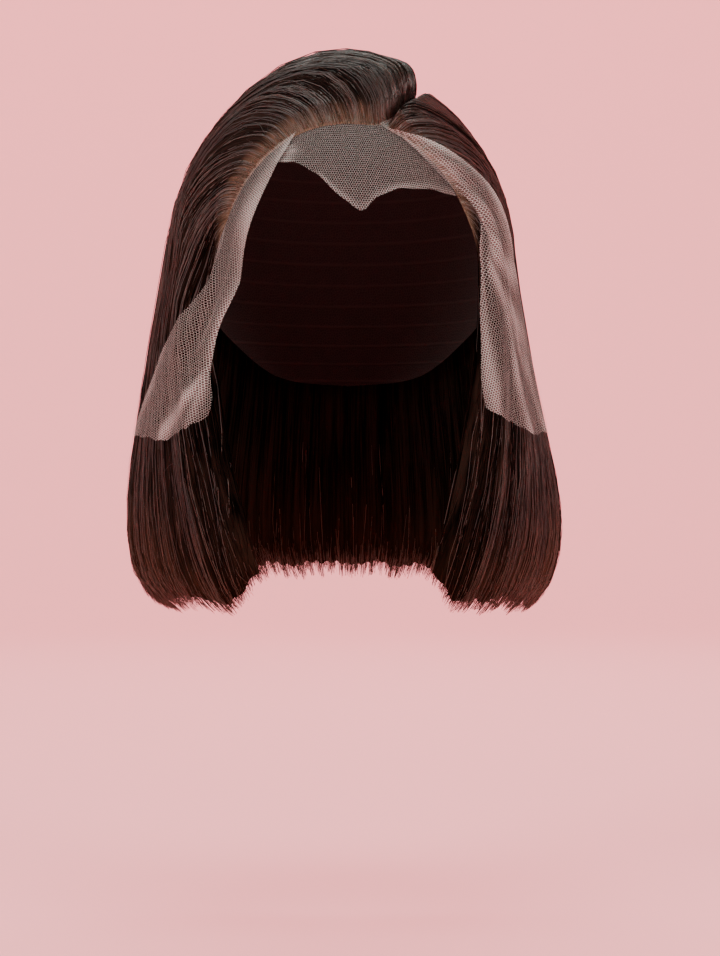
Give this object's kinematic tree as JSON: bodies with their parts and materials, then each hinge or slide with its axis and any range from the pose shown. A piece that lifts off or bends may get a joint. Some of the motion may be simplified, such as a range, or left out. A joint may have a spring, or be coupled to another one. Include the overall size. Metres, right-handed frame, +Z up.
{
  "type": "bob wig",
  "caption": "Side-parted straight bob wig on a net cap, with its uncut lace front hanging over the hair at both temples",
  "frame": {"origin": "The place inside the cap that rests on the crown of the head", "axes": "+Z up as worn, +X to the wearer's left, the face side looks along -Y"},
  "size_m": [0.2282, 0.2088, 0.2953],
  "materials": {
    "hair": "satin",
    "lace": "matte",
    "cap_net": "matte"
  },
  "bodies": {
    "root": {"crown_cap": "cap_net", "lace_front": "lace", "hair_front_right": "hair", "hair_sweep_right": "hair", "hair_back": "hair", "hair_side_left": "hair", "hair_front_left": "hair"}
  },
  "joints": []
}
